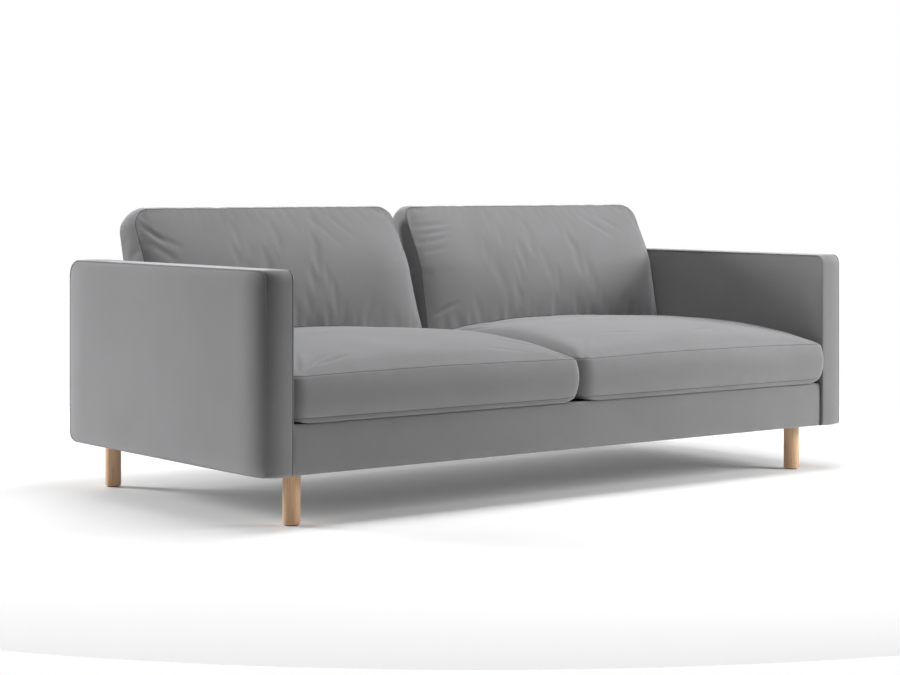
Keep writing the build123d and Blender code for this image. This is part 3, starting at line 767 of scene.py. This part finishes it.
BACK_CREASES = {
    "left": [
        ((-0.44, 0.15), (-0.39, 0.10), 0.010, 0.0032),
        ((-0.42, 0.13), (-0.35, 0.09), 0.012, 0.0026),
        ((-0.43, 0.10), (-0.37, 0.05), 0.014, 0.0024),
        ((0.10, 0.180), (0.18, 0.09), 0.014, 0.0016),
        ((0.17, 0.180), (0.24, 0.11), 0.011, 0.0013),
        ((0.04, 0.04), (0.09, -0.06), 0.020, 0.0010),
        ((0.43, 0.08), (0.36, 0.04), 0.012, 0.0014),
    ],
    "right": [
        ((-0.45, 0.14), (-0.33, 0.15), 0.009, 0.0034),
        ((-0.45, 0.115), (-0.34, 0.13), 0.008, 0.0030),
        ((-0.45, 0.09), (-0.35, 0.11), 0.008, 0.0026),
        ((-0.45, 0.06), (-0.37, 0.08), 0.009, 0.0018),
        ((-0.45, -0.10), (-0.37, -0.08), 0.009, 0.0026),
        ((0.20, 0.17), (0.30, 0.10), 0.012, 0.0026),
        ((0.27, 0.17), (0.35, 0.12), 0.010, 0.0022),
        ((-0.22, 0.05), (-0.18, -0.08), 0.022, 0.0018),
        ((0.00, 0.00), (0.02, -0.12), 0.018, 0.0016),
        ((0.15, 0.05), (0.18, -0.06), 0.018, 0.0016),
    ],
}


def seat_height(seat_tree, x, y):
    """The height of a seat cushion's top at one place."""
    hit = seat_tree.ray_cast(Vector((x, y, 0.7)), Vector((0, 0, -1)))[0]
    return hit.z if hit else 0


def on_seat(points):
    """1 for the part of a back cushion that stands on the seat cushion, and 0 well behind it."""
    return 1 - smooth_step(points[:, 1], 0.25, 0.30)


def dress_back_cushion(cushion, side_name, seat_tree):
    """Folds of a back cushion, on its subdivided mesh, and its bottom edge laid on the seat cushion."""
    low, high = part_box(f"back_cushion_cover_{side_name}")
    centre_x = (low.x + high.x) / 2
    points, normals = points_of(cushion), normals_of(cushion)
    up = (points[:, 2] - BACK_FOOT_Z) / math.cos(LEAN)
    plan = np.column_stack([points[:, 0] - centre_x, up - BACK_HALF_LENGTH])
    facing = normals[:, 2] * math.sin(LEAN) - normals[:, 1] * math.cos(LEAN)
    on_front = smooth_step(facing, 0.2, 0.6)
    shift = np.zeros(len(points))
    for start, end, width, depth in BACK_CREASES[side_name]:
        shift += on_front * crease(plan, start, end, width, depth)
    gathers = ripple(points * (1, 0.2, 0.18), 0.026, 71 + len(side_name))
    low_edge = np.exp(-((np.clip(up - 0.03, 0, 1) / 0.04) ** 2))
    shift += on_front * 0.0048 * gathers * low_edge
    shift += on_front * 0.0014 * ripple(points * (1, 0.5, 0.5), 0.15, 75 + len(side_name))
    points += normals * shift[:, None]
    points[:, 0] = np.clip(points[:, 0], low.x, high.x)
    lean_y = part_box("back_cover")[0].y + (points[:, 2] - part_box("deck_pad")[0].z) * math.tan(LEAN)
    against_back = points[:, 2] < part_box("back_cover")[1].z + 0.01
    points[:, 1] = np.where(against_back, np.minimum(points[:, 1], lean_y - 0.0008), points[:, 1])
    places = np.linspace(low.x, high.x, 61)
    seat_top = [seat_height(seat_tree, x, BACK_FOOT_Y) for x in places]
    rest = np.interp(points[:, 0], places, seat_top) + CLEARANCE
    depth = np.clip((lean_y - points[:, 1]) * math.cos(LEAN), 0, 0.12)
    flat_foot = BACK_FOOT_Z + depth * math.sin(LEAN)
    near_foot = np.clip(1 - (points[:, 2] - flat_foot) / 0.16, 0, 1)
    points[:, 2] += (rest - flat_foot) * near_foot * on_seat(points)
    for number in np.flatnonzero((points[:, 2] < 0.50) & (points[:, 1] < 0.262)):
        x, y, z = points[number]
        points[number, 2] = max(z, seat_height(seat_tree, x, y) + CLEARANCE)
    move_points(cushion, points)


def make_seams(cushion, pad, name, body, radius, material):
    """A thin sewn ridge along both seams of a finished pad."""
    points, normals = points_of(cushion), normals_of(cushion)
    for number, loop in enumerate(pad.seams):
        tube, quads = ring(points[loop] - normals[loop] * radius * 0.35, normals[loop], radius)
        seam = make_piece(f"{name}_seam_{number + 1}", tube, quads)
        finish_piece(seam, body, material)


def make_cushions():
    """All four loose cushions: shaped, settled in one cloth run, subdivided, creased and seamed."""
    made = {}
    for side_name, side in SIDES.items():
        made["seat", side_name] = make_seat_cushion(side_name, side)
        made["back", side_name] = make_back_cushion(side_name, side)
    settings = {"seat": (0.0, 4, 0.004), "back": (0.005, 4, 0.007)}  # fullness, pressure, furthest move
    inflate([(cushion, sewn, *settings[family]) for (family, _), (cushion, _, sewn) in made.items()])
    for side_name in SIDES:
        seat, seat_pad, _ = made["seat", side_name]
        subdivide(seat)
        dress_seat_cushion(seat, side_name)
        back, back_pad, _ = made["back", side_name]
        subdivide(back)
        dress_back_cushion(back, side_name, surface(seat))
        for family, cushion, pad in (("seat", seat, seat_pad), ("back", back, back_pad)):
            body = f"{family}_cushion_{side_name}"
            # The seam ridges are drawn in the dark seam material: painted shade of the recessed seams
            make_seams(cushion, pad, body, body, 0.0011, seam_shade_cloth)
            nodes = (f"{family}_cushion_cover_{side_name}", f"{family}_cushion_core_{side_name}")
            finish_piece(cushion, body, cushion_cloth, nodes)


# ---- stage ----

FLOOR_GLOW = 0.13
FLOOR_RADIUS = 2.5
SUN_STRENGTH = 0.40
SUN_WIDTH = math.radians(60)
LIGHTS = [  # name, place, target, size, watts
    ("left", (-4.6, 6.6, 2.4), (-1.0, 0.0, 0.4), (2.6, 2.2), 720),
    ("right_front", (2.5, -2.3, 1.4), (1.0, -0.4, 0.4), (1.2, 1.2), 80),
    ("above", (0.2, -0.4, 3.4), (0.0, 0.2, 0.3), (2.6, 1.2), 82),
    ("behind", (0.6, 3.6, 3.0), (0.0, 0.2, 0.5), (3.0, 2.0), 55),
]


def make_stage():
    """A plain pale floor before a white background, under a wide light overhead and four softboxes."""
    turns = np.arange(96) * 2 * math.pi / 96
    rim = np.stack([FLOOR_RADIUS * np.cos(turns), FLOOR_RADIUS * np.sin(turns), 0 * turns], axis=1)
    floor = make_piece("floor", rim, [tuple(range(len(rim)))])
    white, tree, shader, place = new_material("floor_white", 0.9)
    tone = ramp(tree, noise_node(tree, place, 0.6, 2), [(0.3, (0.9, 0.9, 0.9)), (0.7, (0.91, 0.91, 0.91))])
    tree.links.new(tone, shader.inputs["Base Color"])
    shader.inputs["Specular IOR Level"].default_value = 0.1
    shader.inputs["Emission Color"].default_value = (1, 1, 1, 1)
    shader.inputs["Emission Strength"].default_value = FLOOR_GLOW
    floor.data.materials.append(white)

    world = bpy.data.worlds.new("studio")
    scene.world = world
    world.use_nodes = True
    nodes, links = world.node_tree.nodes, world.node_tree.links
    lit = nodes["Background"]
    lit.inputs["Strength"].default_value = 0
    shown = nodes.new("ShaderNodeBackground")
    shown.inputs["Color"].default_value = (1, 1, 1, 1)
    path = nodes.new("ShaderNodeLightPath")
    choose = nodes.new("ShaderNodeMixShader")
    links.new(path.outputs["Is Camera Ray"], choose.inputs["Fac"])
    links.new(lit.outputs["Background"], choose.inputs[1])
    links.new(shown.outputs["Background"], choose.inputs[2])
    links.new(choose.outputs["Shader"], nodes["World Output"].inputs["Surface"])

    light = bpy.data.lights.new("overhead", "SUN")
    light.energy = SUN_STRENGTH
    light.angle = SUN_WIDTH
    lamp = bpy.data.objects.new("overhead", light)
    scene.collection.objects.link(lamp)
    for name, place, target, size, power in LIGHTS:
        light = bpy.data.lights.new(name, "AREA")
        light.shape = "RECTANGLE"
        light.size, light.size_y = size
        light.energy = power
        lamp = bpy.data.objects.new(name, light)
        lamp.location = place
        lamp.visible_camera = False
        lamp.rotation_euler = (Vector(target) - Vector(place)).to_track_quat("-Z", "Y").to_euler()
        scene.collection.objects.link(lamp)


def make_camera():
    """The camera, level, a little above the back cushions, before the sofa's left front corner."""
    camera = bpy.data.cameras.new("camera")
    camera.sensor_width = 36
    camera.lens = 86.685
    camera.shift_y = -0.16855
    holder = bpy.data.objects.new("camera", camera)
    holder.location = (-3.8595, -4.9698, 0.8474)
    holder.rotation_euler = (math.radians(90), 0, math.radians(-37.3376))
    scene.collection.objects.link(holder)
    scene.camera = holder


lining_cloth = coarse_cloth("deck_lining", (0.16, 0.16, 0.165), 900)
paint_frame()
for side_name, side in SIDES.items():
    make_arm(side_name, side)
make_front_rail()
make_deck()
make_back()
make_cushions()
make_stage()
make_camera()
scene.view_settings.view_transform = "Standard"
